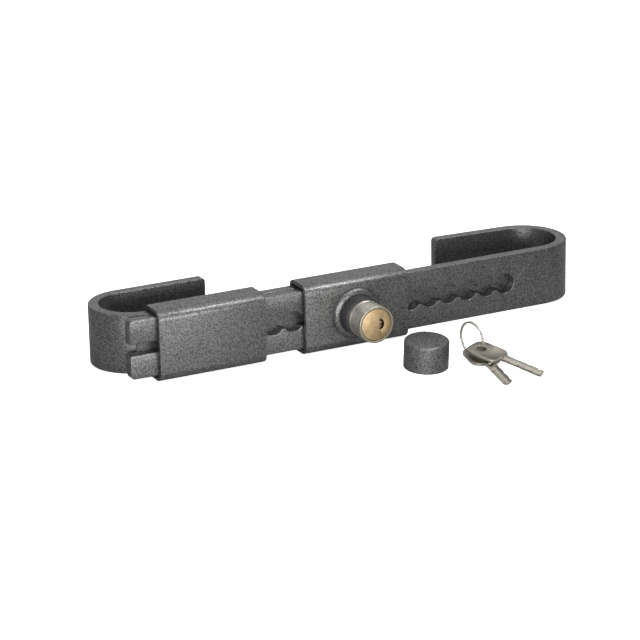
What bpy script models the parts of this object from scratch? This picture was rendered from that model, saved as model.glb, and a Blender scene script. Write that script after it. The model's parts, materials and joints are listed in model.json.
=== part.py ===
"""Adjustable double-hook door lock bar with a push-in key cylinder, a dust cap and two keys.

Two hooks of flat bar slide past each other in two rectangular sleeves. The left hook and the sleeves are one
welded frame. The right hook slides in it, and the lock's bolt enters one of the holes of its slot.
The lock is drawn in its own upright frame, the empty lock_frame, which leans back a few degrees: it rests on the
back edge of the sleeves' undersides and on the return leg of the left hook. In that frame X runs along the bars,
Y goes back from the front face of the sliding bar, and Z goes up from the underside of the sleeves.
"""
import math

import bmesh
import bpy
from mathutils import Matrix, Vector

MM = 0.001
GAP = 0.3                                   # space left between pieces that touch

# Flat bar of the hooks
BAR_HEIGHT = 50.0
BAR_THICK = 9.0
BAR_EDGE = 0.8                              # rounding of the long edges
BAR_CORNER = 3.5                            # rounding of the bar ends, seen from the front
LEAF_GAP = 1.8                              # space between the two bars

# Left hook, welded to the sleeves. The lock axis is at X = 0
LEFT_BEND_X = -178.8
LEFT_BEND_R = 36.0
LEFT_LEG_END = -100.2
LEFT_BAR_END = 46.0
# Right hook, which slides
RIGHT_BEND_X = 186.5
RIGHT_BEND_R = 38.3
RIGHT_LEG_END = 119.2
RIGHT_BAR_END = -201.3
RIGHT_LEG_SPLAY = math.radians(3.2)

# Row of locking holes joined by a straight slot
HOLE_PITCH = 18.35
HOLE_R = 8.6
SLOT_HALF = 4.8
HOLES_RIGHT = 8                             # holes to the right of the lock
HOLES_LEFT = 5                              # holes to the left of the lock
STRIP_THICK = 1.0
STRIP_HALF = 11.0
STRIP_X = (-191.5, 158.0)

# Sleeves
SLEEVE_HEIGHT = 60.0
SLEEVE_WALL = 3.2
SLEEVE_R = 6.0                              # outside radius of the back corners
SLEEVE_FRONT_R = 8.0
SLEEVE_FRONT = -6.0
LEFT_SLEEVE_X = (-177.9, -83.2)
LOCK_SLEEVE_X = (-46.8, 48.9)
PLUG_WELD_R = 6.0
PLUG_WELD_PITCH = 50.0

# Lock, turned about the line X = 0, Z = AXIS_Z. Heights are distances in front of the sliding bar
COLLAR_R = 17.1
COLLAR_BORE = 15.85
COLLAR_TOP = 21.0
RING_R = (17.4, 22.0)
RING_HEIGHT = 3.5
SHELL_R = 15.75
SHELL_REAR = 14.5
SHELL_TOP = 42.0
SHELL_MOUTH = 13.7
TRAVEL = 13.0
PLUG_R = 13.62
PLUG_FACE = 41.4
PLUG_SEAT = 38.6
BARREL_R = 9.95
BARREL_REAR = 30.4
BARREL_BORE = 8.45
BARREL_FLOOR = 37.2
KEYWAY = (2.3, 3.0, 4.95, math.radians(80))  # centre's distance from the axis, radii, half angle
KEYWAY_TAB = (2.1, 1.15, 0.5)                # length, half width at the root and at the tip
DISC_COUNT = 5
BOLT_R = 7.9
BOLT_TIP = 4.5
WEB = (24.0, 25.8)
LATCH_Z = (8.1, 15.6)
LATCH_Y = (26.4, 28.9)
LATCH_WIDTH = 4.0
SCREW_HEIGHT = 17.5

# Loose pieces on the floor
CAP_R = 18.75
CAP_HEIGHT = 23.5
CAP_WALL = 1.5
CAP_PLACE = (30.1, -42.44)
RING_WIRE = 1.0
RING_MEAN = 13.8
RING_PLACE = (75.6, -38.24)
RING_TURN = math.radians(-79)
KEY_TIP = 58.0
KEY_HEAD = (-10.0, 21.0, 13.0)              # head's ends and half width, from the key's hole
KEY_HOLE_R = 4.0
KEY_ARC = (3.2, 4.75, math.radians(76))     # crescent blade: inner radius, outer radius, half angle
KEY_ARC_LIFT = 2.75
KEY_CUTS = (0.7, 0.45)                      # depth of the shallowest cut, and the step between depths
KEY_CUT_PITCH = 5.4
KEYS = (                                    # name, hole along the ring's plane, hole height, heading
    ("key_lower", 9.07, 4.4, math.radians(-96.7)),
    ("key_upper", 12.61, 9.2, math.radians(-62.4)),
)

SHIFT = (-5.0, 18.76)                        # puts the whole object's box over the origin
AXIS_Z = SLEEVE_HEIGHT / 2
BAR_BOTTOM = (SLEEVE_HEIGHT - BAR_HEIGHT) / 2
REAR_BAR_Y = BAR_THICK + LEAF_GAP
SLEEVE_BACK = REAR_BAR_Y + BAR_THICK + GAP + SLEEVE_WALL
ROUND = 40                                  # sides of the round pieces


def lean_angle():
    """Angle at which the back edge of the sleeves and the left return leg both touch the floor."""
    reach = (REAR_BAR_Y + 2 * LEFT_BEND_R - BAR_EDGE) - (SLEEVE_BACK - SLEEVE_R)
    drop = SLEEVE_R - BAR_EDGE
    rise = BAR_BOTTOM + BAR_EDGE - SLEEVE_R
    return math.asin((drop + rise * math.cos(0.077)) / reach)


LEAN = lean_angle()
LIFT = (SLEEVE_BACK - SLEEVE_R) * math.sin(LEAN) - SLEEVE_R * math.cos(LEAN) + SLEEVE_R


def clear_scene():
    for item in list(bpy.data.objects):
        bpy.data.objects.remove(item, do_unlink=True)


def make_collection(name):
    group = bpy.data.collections.new(name)
    bpy.context.scene.collection.children.link(group)
    return group


def material(name, color, metallic, roughness):
    mat = bpy.data.materials.new(name)
    mat.use_nodes = True
    shader = mat.node_tree.nodes["Principled BSDF"]
    shader.inputs["Base Color"].default_value = (*color, 1.0)
    shader.inputs["Metallic"].default_value = metallic
    shader.inputs["Roughness"].default_value = roughness
    return mat


def link(item, group, parent=None):
    for old in list(item.users_collection):
        old.objects.unlink(item)
    group.objects.link(item)
    item.parent = parent


def piece(item, mat, parent=None):
    """Put a finished object in the part's collection with its material."""
    link(item, PARTS, parent)
    item.data.materials.clear()
    item.data.materials.append(mat)
    return item


def cutter(item, parent=None):
    link(item, CUTTERS, parent)
    item.hide_render = True
    item.display_type = "WIRE"
    return item


def boolean(item, tool, operation="DIFFERENCE"):
    mod = item.modifiers.new(operation.lower(), "BOOLEAN")
    mod.operation = operation
    mod.object = tool


def bevel(item, width, segments=1, angle=40):
    mod = item.modifiers.new("edges", "BEVEL")
    mod.width = width * MM
    mod.segments = segments
    mod.limit_method = "ANGLE"
    mod.angle_limit = math.radians(angle)


def arc(cx, cy, radius, start, end, steps):
    """Points of an arc in a plane, in millimetres."""
    points = []
    for i in range(steps + 1):
        angle = start + (end - start) * i / steps
        points.append((cx + radius * math.cos(angle), cy + radius * math.sin(angle)))
    return points


def rounded_box(x0, x1, y0, y1, radius, steps=5):
    quarter = math.pi / 2
    corners = ((x1 - radius, y1 - radius), (x0 + radius, y1 - radius),
               (x0 + radius, y0 + radius), (x1 - radius, y0 + radius))
    points = []
    for i, (cx, cy) in enumerate(corners):
        points += arc(cx, cy, radius, i * quarter, (i + 1) * quarter, steps)
    return points


def plate(name, outlines, thickness):
    """Flat outlines, the first one outside, extruded about the plane Z = 0 into a welded mesh object."""
    curve = bpy.data.curves.new(name, "CURVE")
    curve.dimensions = "2D"
    curve.fill_mode = "BOTH"
    curve.extrude = thickness * MM / 2
    for outline in outlines:
        spline = curve.splines.new("POLY")
        spline.points.add(len(outline) - 1)
        for point, (x, y) in zip(spline.points, outline):
            point.co = (x * MM, y * MM, 0.0, 1.0)
        spline.use_cyclic_u = True
    return as_mesh(name, curve)


def as_mesh(name, curve):
    """Turn a curve into a closed mesh object and drop the curve."""
    source = bpy.data.objects.new(name + "_curve", curve)
    bpy.context.scene.collection.objects.link(source)
    graph = bpy.context.evaluated_depsgraph_get()
    mesh = bpy.data.meshes.new_from_object(source.evaluated_get(graph))
    mesh.name = name
    bpy.data.objects.remove(source, do_unlink=True)
    work = bmesh.new()
    work.from_mesh(mesh)
    bmesh.ops.remove_doubles(work, verts=work.verts, dist=1e-6)
    bmesh.ops.dissolve_limit(work, angle_limit=0.001, verts=work.verts, edges=work.edges)
    bmesh.ops.recalc_face_normals(work, faces=work.faces)
    work.to_mesh(mesh)
    work.free()
    item = bpy.data.objects.new(name, mesh)
    bpy.context.scene.collection.objects.link(item)
    return item


def turned(name, profile, steps=ROUND):
    """Profile of (radius, height) points, down the outside, turned about the object's Z axis."""
    mesh = bpy.data.meshes.new(name)
    work = bmesh.new()
    verts = [work.verts.new((r * MM, 0.0, h * MM)) for r, h in profile]
    for start, end in zip(verts, verts[1:]):
        work.edges.new((start, end))
    if profile[0][0] > 0:
        work.edges.new((verts[-1], verts[0]))
    work.to_mesh(mesh)
    work.free()
    item = bpy.data.objects.new(name, mesh)
    bpy.context.scene.collection.objects.link(item)
    mod = item.modifiers.new("turn", "SCREW")
    mod.steps = steps
    mod.render_steps = steps
    mod.use_merge_vertices = True
    mod.merge_threshold = 1e-6
    mod.use_smooth_shade = True
    return item


def box(name, low, high):
    """Box between two corners, in millimetres, with its origin at its centre."""
    size = [(b - a) * MM for a, b in zip(low, high)]
    centre = [(a + b) * MM / 2 for a, b in zip(low, high)]
    bpy.ops.mesh.primitive_cube_add(size=1.0, location=centre)
    item = bpy.context.object
    item.name = name
    item.data.transform(Matrix.Diagonal((*size, 1.0)))
    return item


def cylinder(name, radius, low, high, steps=32):
    """Upright cylinder from height low to high, about its own Z axis, in millimetres."""
    bpy.ops.mesh.primitive_cylinder_add(vertices=steps, radius=radius * MM, depth=(high - low) * MM)
    item = bpy.context.object
    item.name = name
    item.data.transform(Matrix.Translation((0.0, 0.0, (low + high) / 2 * MM)))
    return item


def face_front(item, x=0.0, z=AXIS_Z):
    """Point an object's Z axis out of the front, along -Y, through the given place."""
    item.rotation_euler = (math.pi / 2, 0.0, 0.0)
    item.location = (x * MM, 0.0, z * MM)
    return item


# Hooks

def round_bar_ends(item, ends):
    """Round the corners of a bar's ends: ends holds a test for each end's vertical edges."""
    half = BAR_HEIGHT / 2 * MM
    work = bmesh.new()
    work.from_mesh(item.data)
    picked = []
    for edge in work.edges:
        flat = all(abs(abs(v.co.z) - half) < 1e-6 for v in edge.verts)
        level = abs(edge.verts[0].co.z - edge.verts[1].co.z) < 1e-6
        if flat and level and any(all(test(v.co) for v in edge.verts) for test in ends):
            picked.append(edge)
    bmesh.ops.bevel(work, geom=picked, offset=BAR_CORNER * MM, segments=4, profile=0.5, affect="EDGES")
    work.to_mesh(item.data)
    work.free()


def left_hook():
    centre_y = REAR_BAR_Y + LEFT_BEND_R
    inner = LEFT_BEND_R - BAR_THICK
    half = math.pi / 2
    outline = [(LEFT_BAR_END, REAR_BAR_Y)]
    outline += arc(LEFT_BEND_X, centre_y, LEFT_BEND_R, -half, -3 * half, 24)
    outline += [(LEFT_LEG_END, centre_y + LEFT_BEND_R), (LEFT_LEG_END, centre_y + inner)]
    outline += arc(LEFT_BEND_X, centre_y, inner, -3 * half, -half, 24)
    outline += [(LEFT_BAR_END, REAR_BAR_Y + BAR_THICK)]
    item = plate("left_hook_bar", [outline], BAR_HEIGHT)
    round_bar_ends(item, [lambda co: co.y > centre_y * MM and co.x > (LEFT_LEG_END - 0.01) * MM])
    item.location = (0.0, 0.0, AXIS_Z * MM)
    bevel(item, BAR_EDGE)
    return piece(item, PAINT, LOCK)


def slot_outline():
    """Outline of the open-ended slot with its row of holes, seen from the front."""
    reach = math.asin(SLOT_HALF / HOLE_R)
    centres = [(i - HOLES_LEFT) * HOLE_PITCH for i in range(HOLES_LEFT + HOLES_RIGHT + 1)]
    top = [(RIGHT_BAR_END - 10, SLOT_HALF)]
    for x in centres[:-1]:
        top += arc(x, 0.0, HOLE_R, math.pi - reach, reach, 6)
    bottom = [(x, -y) for x, y in reversed(top)]
    last = arc(centres[-1], 0.0, HOLE_R, math.pi - reach, reach - math.pi, 20)
    return top + last + bottom


def right_hook():
    inner = RIGHT_BEND_R - BAR_THICK
    half = math.pi / 2
    stop = half - RIGHT_LEG_SPLAY
    along = Vector((-math.cos(RIGHT_LEG_SPLAY), math.sin(RIGHT_LEG_SPLAY)))
    outer_turn = arc(RIGHT_BEND_X, RIGHT_BEND_R, RIGHT_BEND_R, -half, stop, 24)
    inner_turn = arc(RIGHT_BEND_X, RIGHT_BEND_R, inner, stop, -half, 24)
    length = (outer_turn[-1][0] - RIGHT_LEG_END) / math.cos(RIGHT_LEG_SPLAY)
    outer_end = Vector(outer_turn[-1]) + along * length
    inner_end = Vector(inner_turn[0]) + along * length
    outline = [(RIGHT_BAR_END, 0.0)] + outer_turn + [tuple(outer_end), tuple(inner_end)]
    outline += inner_turn + [(RIGHT_BAR_END, BAR_THICK)]
    item = plate("right_hook_bar", [outline], BAR_HEIGHT)
    leg_limit = (RIGHT_LEG_END + 1.0) * MM
    ends = [
        lambda co: co.x < (RIGHT_BAR_END + 0.01) * MM,
        lambda co: co.y > RIGHT_BEND_R * MM and co.x < leg_limit,
    ]
    round_bar_ends(item, ends)
    item.location = (0.0, 0.0, AXIS_Z * MM)
    bevel(item, BAR_EDGE)
    slot = cutter(plate("slot_cutter", [slot_outline()], 6 * BAR_THICK), LOCK)
    boolean(item, face_front(slot))
    return piece(item, PAINT, LOCK)


def backing_strip():
    low = (STRIP_X[0], BAR_THICK + GAP, AXIS_Z - STRIP_HALF)
    high = (STRIP_X[1], BAR_THICK + GAP + STRIP_THICK, AXIS_Z + STRIP_HALF)
    return piece(box("slot_backing_strip", low, high), PAINT, LOCK)


# Sleeves

def sleeve_outline(inset):
    """Section of a sleeve, drawn at a distance inside its surface. The front corners are the rounder ones."""
    quarter = math.pi / 2
    front = SLEEVE_FRONT_R - inset
    back = SLEEVE_R - inset
    low = inset
    high = SLEEVE_HEIGHT - inset
    points = arc(SLEEVE_BACK - inset - back, high - back, back, 0.0, quarter, 5)
    points += arc(SLEEVE_FRONT + inset + front, high - front, front, quarter, 2 * quarter, 5)
    points += arc(SLEEVE_FRONT + inset + front, low + front, front, 2 * quarter, 3 * quarter, 5)
    return points + arc(SLEEVE_BACK - inset - back, low + back, back, 3 * quarter, 4 * quarter, 5)


def sleeve(name, span, lock_hole):
    item = plate(name, [sleeve_outline(0.0), sleeve_outline(SLEEVE_WALL)], span[1] - span[0])
    middle = (span[0] + span[1]) / 2
    item.rotation_euler = (math.pi / 2, 0.0, math.pi / 2)
    item.location = (middle * MM, 0.0, 0.0)
    bevel(item, 0.6, 1, 60)
    for side in (-1, 1):
        hole = cylinder(f"{name}_weld_cutter", PLUG_WELD_R + GAP, -SLEEVE_BACK - 5, -SLEEVE_BACK + 5)
        boolean(item, face_front(cutter(hole, LOCK), middle + side * PLUG_WELD_PITCH / 2))
    if lock_hole:
        hole = cutter(cylinder("lock_hole_cutter", SHELL_R + 0.5, -1.0, 20.0, ROUND), LOCK)
        boolean(item, face_front(hole))
    return piece(item, PAINT, LOCK)


def plug_weld(name, x):
    """Rosette weld that fills a hole in the back of a sleeve, with a low domed bead."""
    inside = -(SLEEVE_BACK - SLEEVE_WALL)
    crown = -(SLEEVE_BACK + 0.9)
    profile = [(0.0, inside), (PLUG_WELD_R, inside), (PLUG_WELD_R, -SLEEVE_BACK)]
    profile += [(PLUG_WELD_R * 0.7, (crown - SLEEVE_BACK) / 2 - 0.15), (0.0, crown)]
    return piece(face_front(turned(name, profile, 24), x), PAINT, LOCK)


def plug_welds():
    for label, span in (("left_sleeve", LEFT_SLEEVE_X), ("lock_sleeve", LOCK_SLEEVE_X)):
        middle = (span[0] + span[1]) / 2
        plug_weld(f"{label}_weld_left", middle - PLUG_WELD_PITCH / 2)
        plug_weld(f"{label}_weld_right", middle + PLUG_WELD_PITCH / 2)


# Lock

def lock_collar():
    foot = -SLEEVE_FRONT + GAP
    profile = [(COLLAR_BORE + 0.3, COLLAR_TOP), (COLLAR_R - 0.5, COLLAR_TOP), (COLLAR_R, COLLAR_TOP - 0.5)]
    profile += [(COLLAR_R, foot), (COLLAR_BORE, foot), (COLLAR_BORE, COLLAR_TOP - 0.3)]
    item = face_front(turned("lock_collar", profile))
    hole = cutter(cylinder("screw_hole_cutter", 2.0, -COLLAR_R - 4, -COLLAR_BORE + 2, 24), LOCK)
    hole.location = (0.0, -SCREW_HEIGHT * MM, AXIS_Z * MM)
    boolean(item, hole)
    return piece(item, DARK, LOCK)


def collar_weld_ring():
    foot = -SLEEVE_FRONT + GAP
    mean = (RING_R[0] + RING_R[1]) / 2
    half = (RING_R[1] - RING_R[0]) / 2
    crown = arc(mean, foot + RING_HEIGHT - half, half, math.pi, 0.0, 6)
    profile = crown + [(RING_R[1], foot), (RING_R[0], foot)]
    return piece(face_front(turned("collar_weld_ring", profile)), PAINT, LOCK)


def cylinder_shell():
    pocket = 12.6
    bore = BARREL_R + 0.1
    profile = [(SHELL_MOUTH, SHELL_TOP), (SHELL_R - 0.9, SHELL_TOP), (SHELL_R - 0.25, SHELL_TOP - 0.3)]
    profile += [(SHELL_R, SHELL_TOP - 1.0), (SHELL_R, SHELL_REAR + 0.5), (SHELL_R - 0.5, SHELL_REAR)]
    profile += [(pocket, SHELL_REAR), (pocket, WEB[0]), (3.4, WEB[0]), (3.4, WEB[1]), (bore, WEB[1])]
    profile += [(bore, PLUG_SEAT), (SHELL_MOUTH, PLUG_SEAT)]
    item = face_front(turned("cylinder_shell", profile))
    pocket_box = box("latch_cutter", (-LATCH_WIDTH / 2 - 0.15, -LATCH_Y[1] - 0.2, AXIS_Z + LATCH_Z[0] - 1),
                     (LATCH_WIDTH / 2 + 0.15, -LATCH_Y[0] + 0.2, AXIS_Z + SHELL_R + 2))
    boolean(item, cutter(pocket_box, LOCK))
    groove_ends = (-SCREW_HEIGHT - TRAVEL - 1.9, -SCREW_HEIGHT + 1.9)
    groove = box("groove_cutter", (-1.7, groove_ends[0], AXIS_Z - SHELL_R - 2),
                 (1.7, groove_ends[1], AXIS_Z - SHELL_R + 2))
    boolean(item, cutter(groove, LOCK))
    return piece(item, CHROME, LOCK)


def arc_slot(margin, with_tab):
    """Crescent outline to the right of the axis, with an optional tapered tab that points inwards."""
    centre, low, high, half = KEYWAY
    low -= margin
    high += margin
    outline = arc(centre, 0.0, high, -half, half, 12)
    if not with_tab:
        return outline + arc(centre, 0.0, low, half, -half, 8)
    length, root, tip = KEYWAY_TAB
    opening = math.asin(root / low)
    outline += arc(centre, 0.0, low, half, opening, 3)
    outline += [(centre + low - length, tip), (centre + low - length, -tip)]
    return outline + arc(centre, 0.0, low, -opening, -half, 3)


def key_plug():
    rear = BARREL_REAR
    profile = [(0.0, PLUG_FACE), (PLUG_R - 0.3, PLUG_FACE)]
    profile += [(PLUG_R, PLUG_FACE - 0.3), (PLUG_R, PLUG_SEAT + GAP)]
    profile += [(BARREL_R, PLUG_SEAT + GAP), (BARREL_R, rear), (BARREL_BORE, rear)]
    profile += [(BARREL_BORE, BARREL_FLOOR), (0.0, BARREL_FLOOR)]
    item = face_front(turned("key_plug", profile))
    way = cutter(plate("keyway_cutter", [arc_slot(0.0, True)], 20.0), LOCK)
    face_front(way)
    way.location.y = -(PLUG_FACE * MM)
    boolean(item, way)
    side = box("sidebar_cutter", (-BARREL_R - 2, -BARREL_FLOOR, AXIS_Z - 1.3),
               (-BARREL_BORE + 1, -rear + 1, AXIS_Z + 1.3))
    boolean(item, cutter(side, LOCK))
    return piece(item, BRASS, LOCK)


def detainer_discs():
    """Pack of discs in the plug's barrel, each with a crescent hole for the key."""
    radius = BARREL_BORE - 0.25
    pitch = (BARREL_FLOOR - BARREL_REAR) / DISC_COUNT
    for i in range(DISC_COUNT):
        rim = arc(0.0, 0.0, radius, 0.0, 2 * math.pi * 31 / 32, 31)
        item = plate(f"detainer_disc_{i + 1}", [rim, arc_slot(0.2, False)], pitch - 0.35)
        face_front(item)
        item.location.y = -(BARREL_REAR + (i + 0.5) * pitch) * MM
        piece(item, BRASS, LOCK)


def sidebar():
    low = (-BARREL_R + 0.15, -BARREL_FLOOR + 0.4, AXIS_Z - 1.0)
    high = (-BARREL_BORE - 0.1, -BARREL_REAR - 0.2, AXIS_Z + 1.0)
    return piece(box("sidebar", low, high), STEEL, LOCK)


def plug_cam():
    """Tail plate of the plug with a narrow lobe that backs the latch until the key turns it away."""
    low, high = LATCH_Y[0] - 0.2, BARREL_REAR - 0.3
    lobe = math.radians(12)
    outline = arc(0.0, 0.0, 7.4, math.pi / 2 - lobe, math.pi / 2 + lobe, 4)
    outline += arc(0.0, 0.0, 5.2, math.pi / 2 + 2 * lobe, 5 * math.pi / 2 - 2 * lobe, 28)
    item = plate("plug_cam", [outline], high - low)
    face_front(item)
    item.location.y = -(low + high) / 2 * MM
    tail = cutter(cylinder("cam_plate_tool", 9.0, high - 0.9, high, 40), LOCK)
    boolean(item, face_front(tail), "UNION")
    return piece(item, STEEL, LOCK)


def plug_circlip():
    start = math.radians(112)
    end = math.radians(428)
    outline = arc(0.0, 0.0, BARREL_R - 0.1, start, end, 20) + arc(0.0, 0.0, 9.25, end, start, 20)
    item = plate("plug_circlip", [outline], 0.7)
    face_front(item)
    item.location.y = -28.6 * MM
    return piece(item, STEEL, LOCK)


def latch_dog():
    half = LATCH_WIDTH / 2
    item = box("latch_dog", (-half, -LATCH_Y[1], AXIS_Z + LATCH_Z[0]),
               (half, -LATCH_Y[0], AXIS_Z + LATCH_Z[1] - 0.2))
    bevel(item, 0.3)
    return piece(item, STEEL, LOCK)


def locking_bolt():
    profile = [(0.0, 25.5), (3.1, 25.5), (3.1, WEB[0] - GAP), (BOLT_R, WEB[0] - GAP)]
    profile += [(BOLT_R, BOLT_TIP + 1.0), (BOLT_R - 1.0, BOLT_TIP), (0.0, BOLT_TIP)]
    return piece(face_front(turned("locking_bolt", profile, 40)), STEEL, LOCK)


def spring_seat():
    profile = [(8.4, 1.25), (15.0, 1.25), (15.0, 0.35), (8.4, 0.35)]
    return piece(face_front(turned("spring_seat_washer", profile, 40)), STEEL, LOCK)


def bolt_spring():
    """Compression spring round the bolt, from its seat to the bottom of the shell's pocket."""
    turns = 5
    per_turn = 10
    wire = 0.8
    mean = 10.6
    low = 1.25 + GAP + wire
    high = WEB[0] - GAP - wire
    curve = bpy.data.curves.new("bolt_spring", "CURVE")
    curve.dimensions = "3D"
    curve.bevel_depth = wire * MM
    curve.bevel_resolution = 2
    curve.use_fill_caps = True
    spline = curve.splines.new("POLY")
    count = turns * per_turn
    spline.points.add(count)
    for i, point in enumerate(spline.points):
        angle = 2 * math.pi * i / per_turn
        height = low + (high - low) * i / count
        point.co = (mean * math.cos(angle) * MM, mean * math.sin(angle) * MM, height * MM, 1.0)
    item = bpy.data.objects.new("bolt_spring", curve)
    bpy.context.scene.collection.objects.link(item)
    return piece(face_front(item), STEEL, LOCK)


def guide_screw():
    profile = [(0.0, -SHELL_R + 1.8), (1.5, -SHELL_R + 1.8), (1.5, -COLLAR_BORE - 0.1)]
    profile += [(1.8, -COLLAR_BORE - 0.1), (1.8, -COLLAR_R), (0.0, -COLLAR_R)]
    item = turned("guide_screw", profile, 16)
    item.location = (0.0, -SCREW_HEIGHT * MM, AXIS_Z * MM)
    return piece(item, STEEL, LOCK)


# Loose pieces

def dust_cap():
    fillet = 1.8
    profile = [(0.0, CAP_HEIGHT)]
    profile += arc(CAP_R - fillet, CAP_HEIGHT - fillet, fillet, math.pi / 2, 0.0, 5)
    profile += [(CAP_R, 0.3), (CAP_R - 0.3, 0.0), (CAP_R - CAP_WALL, 0.0)]
    profile += [(CAP_R - CAP_WALL, CAP_HEIGHT - CAP_WALL), (0.0, CAP_HEIGHT - CAP_WALL)]
    item = turned("dust_cap", profile)
    item.location = (CAP_PLACE[0] * MM, CAP_PLACE[1] * MM, 0.0)
    return piece(item, PAINT)


def key_ring():
    bpy.ops.mesh.primitive_torus_add(major_segments=36, minor_segments=8,
                                     major_radius=RING_MEAN * MM, minor_radius=RING_WIRE * MM)
    item = bpy.context.object
    item.name = "key_ring"
    item.data.transform(Matrix.Rotation(math.pi / 2, 4, "X"))
    item.rotation_euler = (0.0, 0.0, RING_TURN)
    item.location = (RING_PLACE[0] * MM, RING_PLACE[1] * MM, (RING_MEAN + RING_WIRE) * MM)
    item.data.shade_smooth()
    return piece(item, NICKEL)


def blade_outline():
    """Cross-section of the crescent blade, a trough that opens upwards."""
    low, high, half = KEY_ARC
    down = -math.pi / 2
    outline = arc(0.0, KEY_ARC_LIFT, high, down - half, down + half, 8)
    return outline + arc(0.0, KEY_ARC_LIFT, low, down + half, down - half, 8)


def key(name, along_ring, height, heading):
    back, front, half_width = KEY_HEAD
    head = rounded_box(back, front, -half_width, half_width, 8.0)
    hole = arc(0.0, 0.0, KEY_HOLE_R, 0.0, 2 * math.pi * 31 / 32, 31)
    item = plate(name, [head, hole], 2.0)
    place = Matrix.Translation((
        (RING_PLACE[0] + along_ring * math.cos(RING_TURN)) * MM,
        (RING_PLACE[1] + along_ring * math.sin(RING_TURN)) * MM,
        height * MM))
    lowest = KEY_ARC[1] - KEY_ARC_LIFT
    dip = math.asin((height - lowest - 0.15) / KEY_TIP)
    item.matrix_world = place @ Matrix.Rotation(heading, 4, "Z") @ Matrix.Rotation(dip, 4, "Y")
    bevel(item, 0.35)
    start = front - 2.0
    blade = plate(f"{name}_blade_tool", [blade_outline()], KEY_TIP - start)
    blade.data.transform(Matrix(((0, 0, 1, 0), (1, 0, 0, 0), (0, 1, 0, 0), (0, 0, 0, 1))))
    blade.data.transform(Matrix.Translation(((start + KEY_TIP) / 2 * MM, 0.0, 0.0)))
    cutter(blade, item)
    boolean(item, blade, "UNION")
    edge = KEY_ARC[1] * math.sin(KEY_ARC[2])
    for i in range(DISC_COUNT):
        depth = KEY_CUTS[0] + KEY_CUTS[1] * ((i * 2) % 3)
        x = front + 10.0 + i * KEY_CUT_PITCH
        side = -1 if i % 2 else 1
        ends = sorted((side * (edge - depth), side * (edge + 3.0)))
        notch = box(f"{name}_notch_tool", (x, ends[0], -3.0), (x + KEY_CUT_PITCH * 0.45, ends[1], 4.0))
        boolean(item, cutter(notch, item))
    return piece(item, NICKEL)


clear_scene()
PARTS = make_collection("door_lock_bar")
CUTTERS = make_collection("cutters")
PAINT = material("hammertone_paint", (0.10, 0.105, 0.105), 0.55, 0.42)
DARK = material("black_oxide_steel", (0.02, 0.02, 0.021), 0.6, 0.45)
CHROME = material("satin_chrome", (0.62, 0.61, 0.57), 1.0, 0.22)
BRASS = material("lacquered_brass", (0.72, 0.52, 0.26), 1.0, 0.34)
STEEL = material("zinc_steel", (0.45, 0.45, 0.46), 1.0, 0.35)
NICKEL = material("nickel_plate", (0.58, 0.56, 0.51), 1.0, 0.25)

LOCK = bpy.data.objects.new("lock_frame", None)
PARTS.objects.link(LOCK)
LOCK.rotation_euler = (-LEAN, 0.0, 0.0)
LOCK.location = (SHIFT[0] * MM, SHIFT[1] * MM, LIFT * MM)

left_hook()
right_hook()
backing_strip()
sleeve("left_sleeve", LEFT_SLEEVE_X, False)
sleeve("lock_sleeve", LOCK_SLEEVE_X, True)
plug_welds()
lock_collar()
collar_weld_ring()
cylinder_shell()
key_plug()
detainer_discs()
sidebar()
plug_cam()
plug_circlip()
latch_dog()
locking_bolt()
spring_seat()
bolt_spring()
guide_screw()
dust_cap()
key_ring()
for row in KEYS:
    key(*row)
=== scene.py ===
"""Looks of the adjustable door lock bar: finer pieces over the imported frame, materials, studio and camera."""
import json
import math

import bmesh
import bpy
from mathutils import Matrix, Vector, noise


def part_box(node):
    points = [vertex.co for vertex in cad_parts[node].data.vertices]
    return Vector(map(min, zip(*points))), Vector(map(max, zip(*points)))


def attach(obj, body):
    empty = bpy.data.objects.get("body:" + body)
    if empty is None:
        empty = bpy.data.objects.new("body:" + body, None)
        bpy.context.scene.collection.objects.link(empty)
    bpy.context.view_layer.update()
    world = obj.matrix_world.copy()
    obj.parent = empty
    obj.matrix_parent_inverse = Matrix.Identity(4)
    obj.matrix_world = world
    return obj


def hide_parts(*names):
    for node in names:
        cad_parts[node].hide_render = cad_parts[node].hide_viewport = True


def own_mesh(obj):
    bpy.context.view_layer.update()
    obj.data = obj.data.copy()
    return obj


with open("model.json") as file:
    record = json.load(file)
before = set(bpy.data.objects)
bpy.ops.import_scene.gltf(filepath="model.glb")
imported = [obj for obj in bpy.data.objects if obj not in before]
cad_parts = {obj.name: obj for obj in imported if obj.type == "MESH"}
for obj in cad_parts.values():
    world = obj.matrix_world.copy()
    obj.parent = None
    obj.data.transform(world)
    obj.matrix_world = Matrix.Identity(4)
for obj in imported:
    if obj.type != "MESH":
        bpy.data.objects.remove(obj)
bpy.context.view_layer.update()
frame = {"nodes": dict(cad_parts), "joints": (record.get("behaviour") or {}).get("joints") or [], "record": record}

MM = 0.001

# The lock leans back a little. Its own axes: X along the bars, Y back from the sliding bar's front face,
# Z up from the lock's axis. The joint of the plug gives them.
PLUG_JOINT = next(joint for joint in frame["joints"] if joint["name"] == "plug_turn")
ALONG = Vector((1.0, 0.0, 0.0))
BACK = Vector(PLUG_JOINT["axis"]).normalized()
RISE = ALONG.cross(BACK)
LOCK = Matrix.Translation(Vector(PLUG_JOINT["pos_m"])) @ Matrix((ALONG, BACK, RISE)).transposed().to_4x4()

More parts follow.
